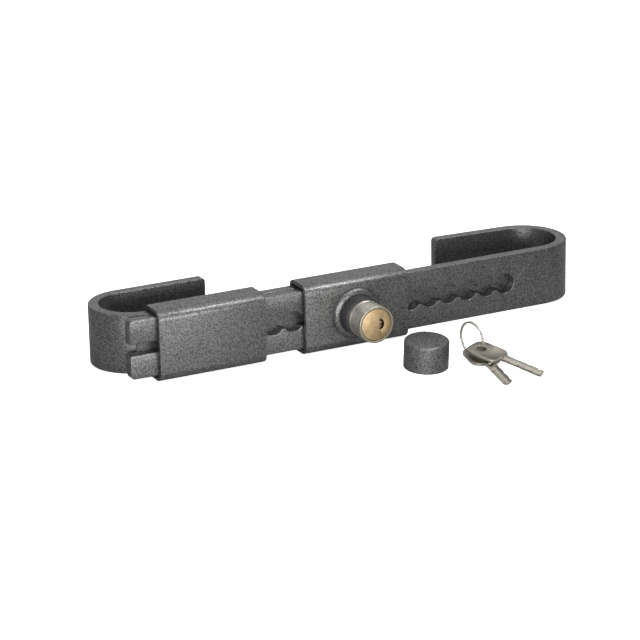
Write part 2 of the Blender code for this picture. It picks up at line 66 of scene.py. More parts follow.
# Sizes of the CAD model, in millimetres
GAP = 0.3
BAR_HEIGHT = 50.0
BAR_THICK = 9.0
BAR_EDGE = 1.0
BAR_CORNER = 3.5
REAR_BAR_Y = 10.8
LEFT_BEND_X = -178.8
LEFT_BEND_R = 36.0
LEFT_LEG_END = -100.2
LEFT_BAR_END = 46.0
RIGHT_BEND_X = 186.5
RIGHT_BEND_R = 38.3
RIGHT_LEG_END = 119.2
RIGHT_BAR_END = -201.3
RIGHT_LEG_SPLAY = math.radians(3.2)
HOLE_PITCH = 18.35
HOLE_R = 8.6
SLOT_HALF = 4.8
HOLES_RIGHT = 8
HOLES_LEFT = 5
SLEEVE_HEIGHT = 60.0
SLEEVE_WALL = 3.2
SLEEVE_R = 6.0
SLEEVE_FRONT_R = 8.0
SLEEVE_FRONT = -6.0
SLEEVE_BACK = 23.3
LEFT_SLEEVE_X = (-177.9, -83.2)
LOCK_SLEEVE_X = (-46.8, 48.9)
PLUG_WELD_R = 6.0
PLUG_WELD_PITCH = 50.0
COLLAR_R = 17.1
COLLAR_BORE = 15.85
COLLAR_TOP = 21.0
RING_R = (17.4, 22.0)
RING_HEIGHT = 3.5
SHELL_R = 15.75
SHELL_REAR = 14.5
SHELL_TOP = 42.0
SHELL_MOUTH = 13.7
SHELL_WEB = (24.0, 25.8)
TRAVEL = 13.0
PLUG_R = 13.35
PLUG_FACE = 41.4
PLUG_SEAT = 38.6
BARREL_R = 9.95
BARREL_REAR = 30.4
BARREL_BORE = 8.45
BARREL_FLOOR = 37.2
KEYWAY = (2.3, 3.0, 4.95, math.radians(80))
KEYWAY_TAB = (2.1, 1.15, 0.5)
SCREW_HEIGHT = 17.5
CAP_R = 18.75
CAP_HEIGHT = 23.5
CAP_WALL = 1.5
RING_MEAN = 13.8
RING_TURN = math.radians(-79)
KEY_TIP = 58.0
KEY_THICK = 2.0
KEY_HEAD = (-10.0, 21.0, 13.0)
KEY_CORNER = 8.0
KEY_HOLE_R = 4.0
KEY_ARC = (3.2, 4.75, math.radians(76))
KEY_ARC_LIFT = 2.75
KEY_CUTS = (0.7, 0.45)
KEY_FIRST_CUT = 10.0
KEY_CUT_PITCH = 5.4
KEY_CUT_COUNT = 5
KEY_HEADINGS = {"key_lower": math.radians(-96.7), "key_upper": math.radians(-62.4)}


# Mesh helpers

def arc(cx, cy, radius, start, end, steps):
    """Points of an arc in a plane, in millimetres."""
    points = []
    for i in range(steps + 1):
        angle = start + (end - start) * i / steps
        points.append((cx + radius * math.cos(angle), cy + radius * math.sin(angle)))
    return points


def rounded_box(x0, x1, y0, y1, radius, steps=12):
    quarter = math.pi / 2
    corners = ((x1 - radius, y1 - radius), (x0 + radius, y1 - radius),
               (x0 + radius, y0 + radius), (x1 - radius, y0 + radius))
    points = []
    for i, (cx, cy) in enumerate(corners):
        points += arc(cx, cy, radius, i * quarter, (i + 1) * quarter, steps)
    return points


def link(item):
    bpy.context.scene.collection.objects.link(item)
    return item


def plate(name, outlines, thickness):
    """Flat outlines, the first one outside, extruded about the plane Z = 0 into a welded mesh object."""
    curve = bpy.data.curves.new(name, "CURVE")
    curve.dimensions = "2D"
    curve.fill_mode = "BOTH"
    curve.extrude = thickness * MM / 2
    for outline in outlines:
        spline = curve.splines.new("POLY")
        spline.points.add(len(outline) - 1)
        for point, (x, y) in zip(spline.points, outline):
            point.co = (x * MM, y * MM, 0.0, 1.0)
        spline.use_cyclic_u = True
    source = link(bpy.data.objects.new(name + "_curve", curve))
    mesh = bpy.data.meshes.new_from_object(source.evaluated_get(bpy.context.evaluated_depsgraph_get()))
    bpy.data.objects.remove(source, do_unlink=True)
    work = bmesh.new()
    work.from_mesh(mesh)
    bmesh.ops.remove_doubles(work, verts=work.verts, dist=1e-6)
    bmesh.ops.dissolve_limit(work, angle_limit=0.001, verts=work.verts, edges=work.edges)
    bmesh.ops.recalc_face_normals(work, faces=work.faces)
    work.to_mesh(mesh)
    work.free()
    mesh.name = name
    return link(bpy.data.objects.new(name, mesh))


def turned(name, profile, steps=96):
    """Profile of (radius, height) points, down the outside, turned about the object's Z axis."""
    mesh = bpy.data.meshes.new(name)
    work = bmesh.new()
    verts = [work.verts.new((r * MM, 0.0, h * MM)) for r, h in profile]
    for start, end in zip(verts, verts[1:]):
        work.edges.new((start, end))
    if profile[0][0] > 0:
        work.edges.new((verts[-1], verts[0]))
    work.to_mesh(mesh)
    work.free()
    item = link(bpy.data.objects.new(name, mesh))
    mod = item.modifiers.new("turn", "SCREW")
    mod.steps = steps
    mod.render_steps = steps
    mod.use_merge_vertices = True
    mod.merge_threshold = 1e-6
    return item


def box(name, low, high):
    """Box between two corners, in millimetres."""
    mesh = bpy.data.meshes.new(name)
    work = bmesh.new()
    bmesh.ops.create_cube(work, size=1.0)
    size = Matrix.Diagonal([(b - a) * MM for a, b in zip(low, high)]).to_4x4()
    centre = Matrix.Translation([(a + b) * MM / 2 for a, b in zip(low, high)])
    work.transform(centre @ size)
    work.to_mesh(mesh)
    work.free()
    return link(bpy.data.objects.new(name, mesh))


def cylinder(name, radius, low, high, steps=64):
    """Cylinder about the object's Z axis, from height low to high."""
    mesh = bpy.data.meshes.new(name)
    work = bmesh.new()
    bmesh.ops.create_cone(work, cap_ends=True, segments=steps, radius1=radius * MM, radius2=radius * MM,
                          depth=(high - low) * MM)
    work.transform(Matrix.Translation((0.0, 0.0, (low + high) / 2 * MM)))
    work.to_mesh(mesh)
    work.free()
    return link(bpy.data.objects.new(name, mesh))


def face_front(item, x=0.0):
    """Point an object's Z axis out of the front of the lock, at a place along the bars."""
    item.matrix_world = Matrix.Translation((x * MM, 0.0, 0.0)) @ Matrix.Rotation(math.pi / 2, 4, "X")
    return item


def bevel(item, width, segments=3, angle=35):
    mod = item.modifiers.new("edges", "BEVEL")
    mod.width = width * MM
    mod.segments = segments
    mod.limit_method = "ANGLE"
    mod.angle_limit = math.radians(angle)
    mod.miter_outer = "MITER_ARC"


def boolean(item, tool, operation="DIFFERENCE"):
    """Cut or join at once, and drop the tool."""
    mod = item.modifiers.new("cut", "BOOLEAN")
    mod.operation = operation
    mod.object = tool
    mod.solver = "EXACT"
    bake(item)
    bpy.data.objects.remove(tool, do_unlink=True)


def bake(item):
    """Apply an object's modifiers to its mesh."""
    bpy.context.view_layer.update()
    graph = bpy.context.evaluated_depsgraph_get()
    item.data = bpy.data.meshes.new_from_object(item.evaluated_get(graph))
    item.modifiers.clear()


def finish(item, mat, body, replaced=(), place=LOCK, sharp=32):
    """Apply the modifiers, move the mesh into the row's frame, shade it and hand it to its body."""
    bake(item)
    item.data.transform(place @ item.matrix_world)
    item.matrix_world = Matrix.Identity(4)
    item.data.shade_smooth()
    item.data.set_sharp_from_angle(angle=math.radians(sharp))
    item.data.materials.clear()
    item.data.materials.append(mat)
    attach(item, body)
    if replaced:
        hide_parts(*replaced)
    return item


# Materials

class Nodes:
    """Short way to build a material's node tree."""

    def __init__(self, name):
        self.mat = bpy.data.materials.new(name)
        self.mat.use_nodes = True
        self.tree = self.mat.node_tree
        self.shader = self.tree.nodes["Principled BSDF"]
        self.coords = self.tree.nodes.new("ShaderNodeTexCoord").outputs["Object"]

    def add(self, kind, inputs=(), **settings):
        node = self.tree.nodes.new("ShaderNode" + kind)
        for key, value in settings.items():
            setattr(node, key, value)
        for key, value in dict(inputs).items():
            self.put(node.inputs[key], value)
        return node

    def put(self, socket, value):
        if isinstance(value, bpy.types.NodeSocket):
            self.tree.links.new(value, socket)
        else:
            socket.default_value = value

    def shade(self, **inputs):
        for key, value in inputs.items():
            self.put(self.shader.inputs[key.replace("_", " ")], value)

    def math(self, operation, a, b=0.0):
        node = self.add("Math", operation=operation)
        self.put(node.inputs[0], a)
        self.put(node.inputs[1], b)
        return node.outputs[0]

    def ramp(self, factor, stops):
        node = self.add("ValToRGB", {"Fac": factor})
        ramp = node.color_ramp
        while len(ramp.elements) < len(stops):
            ramp.elements.new(0.5)
        for element, (position, color) in zip(ramp.elements, stops):
            element.position = position
            element.color = color if len(color) == 4 else (*color, 1.0)
        return node.outputs["Color"]

    def noise(self, scale, detail, vector=None, rough=0.5):
        node = self.add("TexNoise", {"Vector": vector or self.coords, "Scale": scale, "Detail": detail,
                                     "Roughness": rough})
        return node.outputs["Fac"]

    def bump(self, height, strength, distance):
        node = self.add("Bump", {"Height": height, "Strength": strength, "Distance": distance})
        return node.outputs["Normal"]


def grey(value):
    return (value, value, value)


def hammertone():
    """Hammer-finish paint: grey metallic islands about a millimetre across, with darker veins between."""
    n = Nodes("hammertone_paint")
    warp = n.add("TexNoise", {"Vector": n.coords, "Scale": 520.0, "Detail": 2.0})
    push = n.add("VectorMath", {0: warp.outputs["Color"], 1: (0.0016, 0.0016, 0.0016)}, operation="MULTIPLY")
    place = n.add("VectorMath", {0: n.coords, 1: push.outputs[0]}, operation="ADD").outputs[0]
    cells = n.add("TexVoronoi", {"Vector": place, "Scale": 780.0, "Randomness": 1.0}, feature="F1")
    islands = n.ramp(cells.outputs["Distance"], [(0.15, grey(1.0)), (0.75, grey(0.0))])
    fine = n.noise(1300.0, 3.0, None, 0.6)
    broad = n.noise(70.0, 3.0)
    mixed = n.math("ADD", n.math("MULTIPLY", islands, 0.55), n.math("MULTIPLY", fine, 0.50))
    mixed = n.math("ADD", mixed, n.math("MULTIPLY", n.math("SUBTRACT", broad, 0.5), 0.15))
    color = n.ramp(mixed, [(0.20, (0.078, 0.079, 0.078)), (0.50, (0.155, 0.157, 0.155)),
                           (0.85, (0.26, 0.264, 0.26))])
    rough = n.ramp(mixed, [(0.2, grey(0.46)), (0.9, grey(0.33))])
    n.shade(Base_Color=color, Metallic=0.85, Roughness=rough, Normal=n.bump(islands, 0.24, 0.00016))
    return n.mat


def blackened(name, low, high):
    n = Nodes(name)
    speck = n.noise(900.0, 3.0)
    color = n.ramp(speck, [(0.35, grey(low)), (0.75, grey(high))])
    n.shade(Base_Color=color, Metallic=0.6, Roughness=n.ramp(speck, [(0.3, grey(0.38)), (0.8, grey(0.55))]),
            Normal=n.bump(speck, 0.15, 0.0001))
    return n.mat


def streaked(name, dark, light, axis_scale, rough):
    """Turned or drawn metal: fine streaks, longest where axis_scale is smallest, in the lock's own axes."""
    n = Nodes(name)
    turn = n.add("Mapping", {"Vector": n.coords}, vector_type="POINT")
    turn.inputs["Rotation"].default_value = (math.atan2(-BACK.z, BACK.y), 0.0, 0.0)
    turn.inputs["Scale"].default_value = axis_scale
    streaks = n.noise(1.0, 4.0, turn.outputs[0], 0.6)
    stains = n.noise(160.0, 4.0)
    tone = n.math("ADD", n.math("MULTIPLY", streaks, 0.6), n.math("MULTIPLY", stains, 0.4))
    color = n.ramp(tone, [(0.33, dark), (0.68, light)])
    roughness = n.ramp(tone, [(0.3, grey(rough[1])), (0.7, grey(rough[0]))])
    n.shade(Base_Color=color, Metallic=1.0, Roughness=roughness, Normal=n.bump(streaks, 0.08, 0.0001))
    return n.mat


def brass_face():
    """Lacquered brass with the fine rings of the lathe round the lock's axis."""
    n = Nodes("turned_brass")
    home = n.add("Mapping", {"Vector": n.coords}, vector_type="TEXTURE")
    home.inputs["Location"].default_value = LOCK.translation
    home.inputs["Rotation"].default_value = (math.atan2(BACK.z, BACK.y), 0.0, 0.0)
    flat = n.add("VectorMath", {0: home.outputs[0], 1: (1.0, 0.0, 1.0)}, operation="MULTIPLY")
    radius = n.add("VectorMath", {0: flat.outputs[0]}, operation="LENGTH").outputs["Value"]
    rings = n.add("CombineXYZ", {"X": n.math("MULTIPLY", radius, 3600.0)}).outputs[0]
    grooves = n.noise(1.0, 3.0, rings, 0.6)
    stains = n.noise(230.0, 4.0)
    tone = n.math("ADD", n.math("MULTIPLY", grooves, 0.35), n.math("MULTIPLY", stains, 0.65))
    color = n.ramp(tone, [(0.34, (0.44, 0.31, 0.165)), (0.55, (0.58, 0.43, 0.25)),
                          (0.72, (0.66, 0.52, 0.32))])
    n.shade(Base_Color=color, Metallic=1.0, Roughness=n.ramp(tone, [(0.35, grey(0.56)), (0.7, grey(0.44))]),
            Normal=n.bump(grooves, 0.12, 0.00008))
    return n.mat


AXIAL_STREAKS = (1800.0, 60.0, 1800.0)
PAINT = hammertone()
DARK = blackened("blackened_steel", 0.034, 0.095)
# Near-black painted shade for the keyway and for the gap round the plug, not a colour of the lock.
KEYWAY_SHADE_PAINT = blackened("keyway_painted_shade", 0.003, 0.010)
CHROME = streaked("satin_chrome", (0.38, 0.36, 0.31), (0.74, 0.71, 0.65), AXIAL_STREAKS, (0.32, 0.46))
# A darker copy of the satin chrome: painted shade that dims the reflection on the shell's front-facing rim.
SHADED_RIM_CHROME = streaked("rim_painted_shade", (0.26, 0.235, 0.18), (0.50, 0.46, 0.37), AXIAL_STREAKS, (0.40, 0.52))
BRASS = brass_face()
STEEL = streaked("zinc_steel", (0.30, 0.30, 0.31), (0.58, 0.58, 0.60), (700.0, 700.0, 700.0), (0.28, 0.45))
NICKEL = streaked("nickel_plate", (0.36, 0.33, 0.28), (0.53, 0.50, 0.44), (500.0, 500.0, 500.0), (0.30, 0.42))
RING_WIRE = streaked("ring_wire", (0.52, 0.50, 0.45), (0.76, 0.74, 0.68), (700.0, 700.0, 700.0), (0.32, 0.45))


# Hooks and sleeves

def round_bar_ends(item, tests):
    """Round the corners of a bar's ends: tests pick each end's vertical edges."""
    half = BAR_HEIGHT / 2 * MM
    work = bmesh.new()
    work.from_mesh(item.data)
    picked = []
    for edge in work.edges:
        flat = all(abs(abs(v.co.z) - half) < 1e-6 for v in edge.verts)
        level = abs(edge.verts[0].co.z - edge.verts[1].co.z) < 1e-6
        if flat and level and any(all(test(v.co) for v in edge.verts) for test in tests):
            picked.append(edge)
    bmesh.ops.bevel(work, geom=picked, offset=BAR_CORNER * MM, segments=8, profile=0.5, affect="EDGES")
    work.to_mesh(item.data)
    work.free()


def left_hook():
    centre_y = REAR_BAR_Y + LEFT_BEND_R
    inner = LEFT_BEND_R - BAR_THICK
    half = math.pi / 2
    outline = [(LEFT_BAR_END, REAR_BAR_Y)]
    outline += arc(LEFT_BEND_X, centre_y, LEFT_BEND_R, -half, -3 * half, 72)
    outline += [(LEFT_LEG_END, centre_y + LEFT_BEND_R), (LEFT_LEG_END, centre_y + inner)]
    outline += arc(LEFT_BEND_X, centre_y, inner, -3 * half, -half, 72)
    outline += [(LEFT_BAR_END, REAR_BAR_Y + BAR_THICK)]
    item = plate("left_hook_painted", [outline], BAR_HEIGHT)
    round_bar_ends(item, [lambda co: co.y > centre_y * MM and co.x > (LEFT_LEG_END - 0.01) * MM])
    bevel(item, BAR_EDGE)
    finish(item, PAINT, "frame", ["left_hook_bar"])


def slot_outline():
    """Outline of the open-ended slot with its row of holes, seen from the front."""
    reach = math.asin(SLOT_HALF / HOLE_R)
    centres = [(i - HOLES_LEFT) * HOLE_PITCH for i in range(HOLES_LEFT + HOLES_RIGHT + 1)]
    top = [(RIGHT_BAR_END - 10, SLOT_HALF)]
    for x in centres[:-1]:
        top += arc(x, 0.0, HOLE_R, math.pi - reach, reach, 18)
    bottom = [(x, -y) for x, y in reversed(top)]
    last = arc(centres[-1], 0.0, HOLE_R, math.pi - reach, reach - math.pi, 48)
    return top + last + bottom


def right_hook():
    inner = RIGHT_BEND_R - BAR_THICK
    half = math.pi / 2
    stop = half - RIGHT_LEG_SPLAY
    along = Vector((-math.cos(RIGHT_LEG_SPLAY), math.sin(RIGHT_LEG_SPLAY)))
    outer_turn = arc(RIGHT_BEND_X, RIGHT_BEND_R, RIGHT_BEND_R, -half, stop, 72)
    inner_turn = arc(RIGHT_BEND_X, RIGHT_BEND_R, inner, stop, -half, 72)
    length = (outer_turn[-1][0] - RIGHT_LEG_END) / math.cos(RIGHT_LEG_SPLAY)
    outer_end = Vector(outer_turn[-1]) + along * length
    inner_end = Vector(inner_turn[0]) + along * length
    outline = [(RIGHT_BAR_END, 0.0)] + outer_turn + [tuple(outer_end), tuple(inner_end)]
    outline += inner_turn + [(RIGHT_BAR_END, BAR_THICK)]
    item = plate("right_hook_painted", [outline], BAR_HEIGHT)
    leg_limit = (RIGHT_LEG_END + 1.0) * MM
    round_bar_ends(item, [
        lambda co: co.x < (RIGHT_BAR_END + 0.01) * MM,
        lambda co: co.y > RIGHT_BEND_R * MM and co.x < leg_limit,
    ])
    boolean(item, face_front(plate("slot_tool", [slot_outline()], 6 * BAR_THICK)))
    bevel(item, BAR_EDGE * 0.7)
    finish(item, PAINT, "sliding_hook", ["right_hook_bar"])


def sleeve_outline(inset):
    """Section of a sleeve, drawn at a distance inside its surface. The front corners are the rounder ones."""
    quarter = math.pi / 2
    front = SLEEVE_FRONT_R - inset
    back = SLEEVE_R - inset
    high = SLEEVE_HEIGHT / 2 - inset
    points = arc(SLEEVE_BACK - inset - back, high - back, back, 0.0, quarter, 12)
    points += arc(SLEEVE_FRONT + inset + front, high - front, front, quarter, 2 * quarter, 16)
    points += arc(SLEEVE_FRONT + inset + front, front - high, front, 2 * quarter, 3 * quarter, 16)
    return points + arc(SLEEVE_BACK - inset - back, back - high, back, 3 * quarter, 4 * quarter, 12)


def sleeve(node, span, lock_hole):
    item = plate(f"{node}_painted", [sleeve_outline(0.0), sleeve_outline(SLEEVE_WALL)], span[1] - span[0])
    middle = (span[0] + span[1]) / 2
    item.matrix_world = (Matrix.Translation((middle * MM, 0.0, 0.0)) @ Matrix.Rotation(math.pi / 2, 4, "Z")
                         @ Matrix.Rotation(math.pi / 2, 4, "X"))
    for side in (-1, 1):
        hole = cylinder("weld_tool", PLUG_WELD_R + GAP, -SLEEVE_BACK - 5, -SLEEVE_BACK + 5)
        boolean(item, face_front(hole, middle + side * PLUG_WELD_PITCH / 2))
    if lock_hole:
        boolean(item, face_front(cylinder("lock_tool", SHELL_R + 0.5, -1.0, 20.0, 96)))
    bevel(item, 0.8, 3, 60)
    finish(item, PAINT, "frame", [node])


def roughen(item, amount, scale, seed):
    """Uneven surface of a weld bead: push each point along its normal by smooth noise."""
    bake(item)
    offset = Vector((seed * 7.3, seed * 3.1, seed * 5.7))
    for vertex in item.data.vertices:
        push = noise.noise(vertex.co * (scale / MM) + offset)
        vertex.co += vertex.normal * push * amount * MM


def plug_weld(node, x, seed):
    """Rosette weld: a domed bead with the rings the electrode leaves."""
    inside = -(SLEEVE_BACK - SLEEVE_WALL)
    steps = 14
    crown = 0.7
    ripple = 0.1
    profile = [(0.0, inside), (PLUG_WELD_R, inside), (PLUG_WELD_R, -SLEEVE_BACK)]
    for i in range(1, steps + 1):
        share = i / steps
        dome = crown * math.sin(share * math.pi / 2) + ripple * math.sin(share * 3 * math.pi) ** 2
        profile.append((PLUG_WELD_R * (1 - share), -SLEEVE_BACK - dome))
    item = face_front(turned(f"{node}_bead", profile, 64), x)
    roughen(item, 0.12, 0.5, seed)
    finish(item, PAINT, "frame", [node])


# Lock

def lock_collar():
    foot = -SLEEVE_FRONT + GAP
    lip = 0.5
    profile = [(COLLAR_BORE + 0.3, COLLAR_TOP)]
    profile += arc(COLLAR_R - lip, COLLAR_TOP - lip, lip, math.pi / 2, 0.0, 5)
    profile += [(COLLAR_R, foot), (COLLAR_BORE, foot), (COLLAR_BORE, COLLAR_TOP - 0.3)]
    item = face_front(turned("lock_collar_blackened", profile))
    hole = cylinder("screw_tool", 2.0, -COLLAR_R - 4, -COLLAR_BORE + 2, 32)
    hole.location = (0.0, -SCREW_HEIGHT * MM, 0.0)
    boolean(item, hole)
    finish(item, DARK, "frame", ["lock_collar"])


def collar_weld_ring():
    """Fillet weld between the sleeve's face and the collar."""
    foot = -SLEEVE_FRONT + GAP
    width = RING_R[1] - RING_R[0]
    slope = arc(0.0, 0.0, 1.0, math.pi / 2, 0.0, 14)
    profile = [(RING_R[0] + width * x, foot + RING_HEIGHT * y) for x, y in slope] + [(RING_R[0], foot)]
    item = face_front(turned("collar_weld_ring_bead", profile, 144))
    roughen(item, 0.16, 0.42, 2)
    finish(item, PAINT, "frame", ["collar_weld_ring"], sharp=50)


def cylinder_shell():
    pocket = 12.6
    bore = BARREL_R + 0.1
    groove = 25.2
    lip = 0.8
    profile = [(SHELL_MOUTH + 0.25, SHELL_TOP - 0.1)]
    profile += arc(SHELL_R - lip, SHELL_TOP - lip, lip, math.pi / 2, 0.0, 10)
    profile += [(SHELL_R, groove + 0.5), (SHELL_R - 0.25, groove + 0.25), (SHELL_R - 0.25, groove - 0.05)]
    profile += [(SHELL_R, groove - 0.3), (SHELL_R, SHELL_REAR + 0.5), (SHELL_R - 0.5, SHELL_REAR)]
    profile += [(pocket, SHELL_REAR), (pocket, SHELL_WEB[0]), (3.4, SHELL_WEB[0]), (3.4, SHELL_WEB[1])]
    profile += [(bore, SHELL_WEB[1])]
    profile += [(bore, PLUG_SEAT), (SHELL_MOUTH, PLUG_SEAT), (SHELL_MOUTH, SHELL_TOP - 0.5)]
    item = face_front(turned("cylinder_shell_chromed", profile))
    latch_half = 2.15
    latch_y = (26.2, 29.1)
    latch_low = 7.1
    boolean(item, box("latch_tool", (-latch_half, -latch_y[1], latch_low),
                      (latch_half, -latch_y[0], SHELL_R + 2)))
    screw_half = 1.7
    screw_room = 1.9
    boolean(item, box("groove_tool", (-screw_half, -SCREW_HEIGHT - TRAVEL - screw_room, -SHELL_R - 2),
                      (screw_half, -SCREW_HEIGHT + screw_room, -SHELL_R + 2)))
    finish(item, CHROME, "lock_cylinder", ["cylinder_shell"])
    item.data.materials.append(SHADED_RIM_CHROME)
    # Faces at the front that face forwards take the darker chrome copy: painted shade.
    for face in item.data.polygons:
        ahead = -BACK.dot(face.center - LOCK.translation)
        if ahead > (SHELL_TOP - 1.0) * MM and -BACK.dot(face.normal) > 0.35:
            face.material_index = 1


def keyway_outline():
    """Crescent to the right of the axis, with a tapered tab that points inwards."""
    centre, low, high, half = KEYWAY
    length, root, tip = KEYWAY_TAB
    opening = math.asin(root / low)
    outline = arc(centre, 0.0, high, -half, half, 28)
    outline += arc(centre, 0.0, low, half, opening, 8)
    outline += [(centre + low - length, tip), (centre + low - length, -tip)]
    return outline + arc(centre, 0.0, low, -opening, -half, 8)


def key_plug():
    """Turned plug. The walls of the keyway and of its rim take a near-black material: painted shade in the keyway
    and in the gap round the plug.
    """
    rear = BARREL_REAR
    profile = [(0.0, PLUG_FACE), (PLUG_R - 0.35, PLUG_FACE), (PLUG_R - 0.1, PLUG_FACE - 0.1)]
    profile += [(PLUG_R, PLUG_FACE - 0.35), (PLUG_R, PLUG_SEAT + GAP), (BARREL_R, PLUG_SEAT + GAP)]
    profile += [(BARREL_R, rear), (BARREL_BORE, rear), (BARREL_BORE, BARREL_FLOOR), (0.0, BARREL_FLOOR)]
    item = face_front(turned("key_plug_turned", profile))
    way = face_front(plate("keyway_tool", [keyway_outline()], 20.0))
    way.location.y = -PLUG_FACE * MM
    boolean(item, way)
    side = box("sidebar_tool", (-BARREL_R - 2, -BARREL_FLOOR, -1.3), (-BARREL_BORE + 1, -rear + 1, 1.3))
    boolean(item, side)
    bevel(item, 0.12, 2, 60)
    finish(item, BRASS, "key_plug", ["key_plug"])
    # The keyway's walls and the plug's outer rim wall get the near-black material: painted shade.
    item.data.materials.append(KEYWAY_SHADE_PAINT)
    for face in item.data.polygons:
        offset = face.center - LOCK.translation
        from_axis = (offset - BACK * offset.dot(BACK)).length
        in_painted_shade = from_axis < (BARREL_BORE - 0.2) * MM or from_axis > (PLUG_R - 0.2) * MM
        if in_painted_shade and abs(face.normal.dot(BACK)) < 0.5:
            face.material_index = 1


def bolt_spring():
    """Compression spring round the bolt, one coil mesh on the frame; the real spring shortens when the lock is
    pushed in.
    """
    turns = 5
    per_turn = 36
    wire = 0.8
    mean = 10.6
    seat = 1.25 + GAP
    low = seat + wire
    top = SHELL_WEB[0] - GAP
    high = top - wire
    curve = bpy.data.curves.new("bolt_spring_coil", "CURVE")
    curve.dimensions = "3D"
    curve.bevel_depth = wire * MM
    curve.bevel_resolution = 4
    curve.use_fill_caps = True
    spline = curve.splines.new("POLY")
    count = turns * per_turn
    spline.points.add(count)
    for i, point in enumerate(spline.points):
        angle = 2 * math.pi * i / per_turn
        height = low + (high - low) * i / count
        point.co = (mean * math.cos(angle) * MM, mean * math.sin(angle) * MM, height * MM, 1.0)
    source = link(bpy.data.objects.new("spring_curve", curve))
    bpy.context.view_layer.update()
    mesh = bpy.data.meshes.new_from_object(source.evaluated_get(bpy.context.evaluated_depsgraph_get()))
    bpy.data.objects.remove(source, do_unlink=True)
    item = face_front(link(bpy.data.objects.new("bolt_spring_coil", mesh)))
    finish(item, STEEL, "frame", ["bolt_spring"])
    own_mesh(item)


# Loose pieces on the floor

def dust_cap():
    fillet = 1.8
    inner_r = CAP_R - CAP_WALL
    inner_top = CAP_HEIGHT - CAP_WALL
    inner_corner = 0.8
    profile = [(0.0, CAP_HEIGHT)]
    profile += arc(CAP_R - fillet, CAP_HEIGHT - fillet, fillet, math.pi / 2, 0.0, 12)
    profile += [(CAP_R, 0.3), (CAP_R - 0.3, 0.0), (inner_r, 0.0), (inner_r, inner_top - inner_corner)]
    profile += [(inner_r - inner_corner, inner_top), (0.0, inner_top)]
    item = turned("dust_cap_painted", profile, 128)
    low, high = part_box("dust_cap")
    place = Matrix.Translation(((low.x + high.x) / 2, (low.y + high.y) / 2, low.z))
    finish(item, PAINT, "dust_cap", ["dust_cap"], place)


def split_ring():
    """Flat wire wound twice, with the jog where it crosses from the first winding to the second."""
    turns = 2.0
    start = math.radians(38)
    steps = 216
    sweep = 2 * math.pi * turns - math.radians(16)
    jog = (math.radians(335), math.radians(30))
    half_pitch = 0.49
    wire = rounded_box(-0.8, 0.8, -0.47, 0.47, 0.22, 3)
    mesh = bpy.data.meshes.new("split_ring")
    work = bmesh.new()
    loops = []
    for i in range(steps + 1):
        angle = sweep * i / steps
        share = min(max((angle - jog[0]) / jog[1], 0.0), 1.0)
        across = -half_pitch + 2 * half_pitch * (3 * share ** 2 - 2 * share ** 3)
        turn = start - angle
        loop = []
        for radial, axial in wire:
            r = (RING_MEAN + radial) * MM
            loop.append(work.verts.new((r * math.cos(turn), (across + axial) * MM, r * math.sin(turn))))
        loops.append(loop)
    count = len(wire)
    for first, second in zip(loops, loops[1:]):
        for i in range(count):
            work.faces.new((first[i], first[(i + 1) % count], second[(i + 1) % count], second[i]))
    work.faces.new(loops[0][::-1])
    work.faces.new(loops[-1])
    bmesh.ops.recalc_face_normals(work, faces=work.faces)
    work.to_mesh(mesh)
    work.free()
    item = link(bpy.data.objects.new("split_ring", mesh))
    low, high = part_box("key_ring")
    place = Matrix.Translation((low + high) / 2) @ Matrix.Rotation(RING_TURN, 4, "Z")
    finish(item, RING_WIRE, "key_ring", ["key_ring"], place)


def blade_outline():
    """Cross-section of the crescent blade, a trough that opens upwards."""
    low, high, half = KEY_ARC
    down = -math.pi / 2
    outline = arc(0.0, KEY_ARC_LIFT, high, down - half, down + half, 20)
    return outline + arc(0.0, KEY_ARC_LIFT, low, down + half, down - half, 20)


def key(node, joint_name):
    """Key with a stamped head and a crescent blade. Its hinge gives the place of its hole and its tilt."""
    joint = next(joint for joint in frame["joints"] if joint["name"] == joint_name)
    up = Vector(joint["axis"]).normalized()
    heading = KEY_HEADINGS[node]
    level = Vector((math.cos(heading), math.sin(heading), 0.0))
    side = up.cross(level).normalized()
    ahead = side.cross(up)
    place = Matrix.Translation(Vector(joint["pos_m"])) @ Matrix((ahead, side, up)).transposed().to_4x4()
    back, front, half_width = KEY_HEAD
    head = rounded_box(back, front, -half_width, half_width, KEY_CORNER, 12)
    hole = arc(0.0, 0.0, KEY_HOLE_R, 0.0, 2 * math.pi * 47 / 48, 47)
    item = plate(f"{node}_nickel", [head, hole], KEY_THICK)
    bevel(item, 0.4, 3)
    bake(item)
    panel = (6.2, front - 2.2, half_width - 2.6)
    panel_corner = 2.4
    panel_depth = 0.4
    for face in (-1, 1):
        recess = rounded_box(panel[0], panel[1], -panel[2], panel[2], panel_corner, 8)
        tool = plate("panel_tool", [recess], panel_depth)
        tool.location.z = face * KEY_THICK / 2 * MM
        boolean(item, tool)
    start = front - 2.0
    blade = plate("blade_tool", [blade_outline()], KEY_TIP - start)
    blade.data.transform(Matrix(((0, 0, 1, 0), (1, 0, 0, 0), (0, 1, 0, 0), (0, 0, 0, 1))))
    blade.data.transform(Matrix.Translation(((start + KEY_TIP) / 2 * MM, 0.0, 0.0)))
    boolean(item, blade, "UNION")
    edge = KEY_ARC[1] * math.sin(KEY_ARC[2])
    for i in range(KEY_CUT_COUNT):
        depth = KEY_CUTS[0] + KEY_CUTS[1] * ((i * 2) % 3)
        x = front + KEY_FIRST_CUT + i * KEY_CUT_PITCH
        outward = -1 if i % 2 else 1
        ends = sorted((outward * (edge - depth), outward * (edge + 3.0)))
        boolean(item, box("notch_tool", (x, ends[0], -3.0), (x + KEY_CUT_PITCH * 0.45, ends[1], 4.0)))
    bevel(item, 0.1, 2, 50)
    finish(item, NICKEL, node, [node], place)


